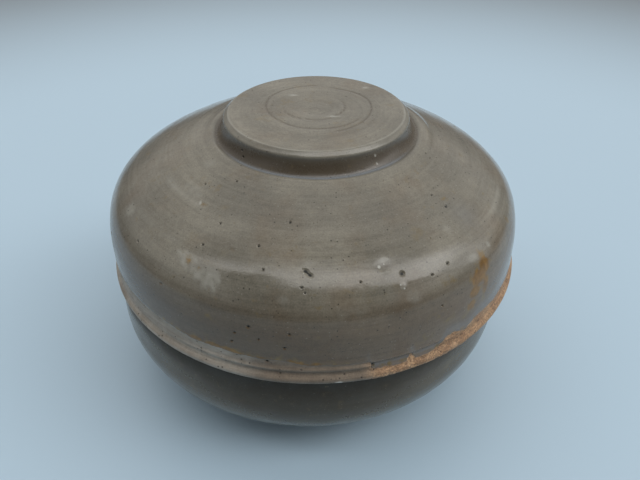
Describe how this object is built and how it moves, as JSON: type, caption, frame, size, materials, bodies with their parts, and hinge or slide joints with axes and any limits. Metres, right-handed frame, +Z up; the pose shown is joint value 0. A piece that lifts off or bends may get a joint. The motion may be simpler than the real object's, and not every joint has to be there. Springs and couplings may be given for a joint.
{
  "type": "lidded go stone bowl",
  "caption": "Squat round stoneware bowl for go stones, olive-grey glaze with a bare clay rim band; the domed lid has a flat disc handle and lifts off.",
  "frame": {"origin": "centre of the bowl's foot, on the surface that it stands on", "axes": "+Z up along the turning axis; -Y towards the viewer's side, where the chipped stretch of the rim is to the right of centre"},
  "size_m": [0.1504, 0.1504, 0.1052],
  "materials": {
    "bowl_glaze": "glossy dark olive-grey glaze over stoneware, bare clay on the seat and under the foot",
    "lid_glaze": "semi-gloss olive-grey glaze with pinholes and rust spots, bare pinkish-tan clay band round the rim"
  },
  "bodies": {
    "bowl": {"bowl": "bowl_glaze"},
    "lid": {"lid": "lid_glaze"}
  },
  "joints": [
    {"name": "lid_lift", "type": "slide", "parent": "bowl", "child": "lid", "axis": [0, 0, 1], "range_m": [0, 0.12]}
  ]
}
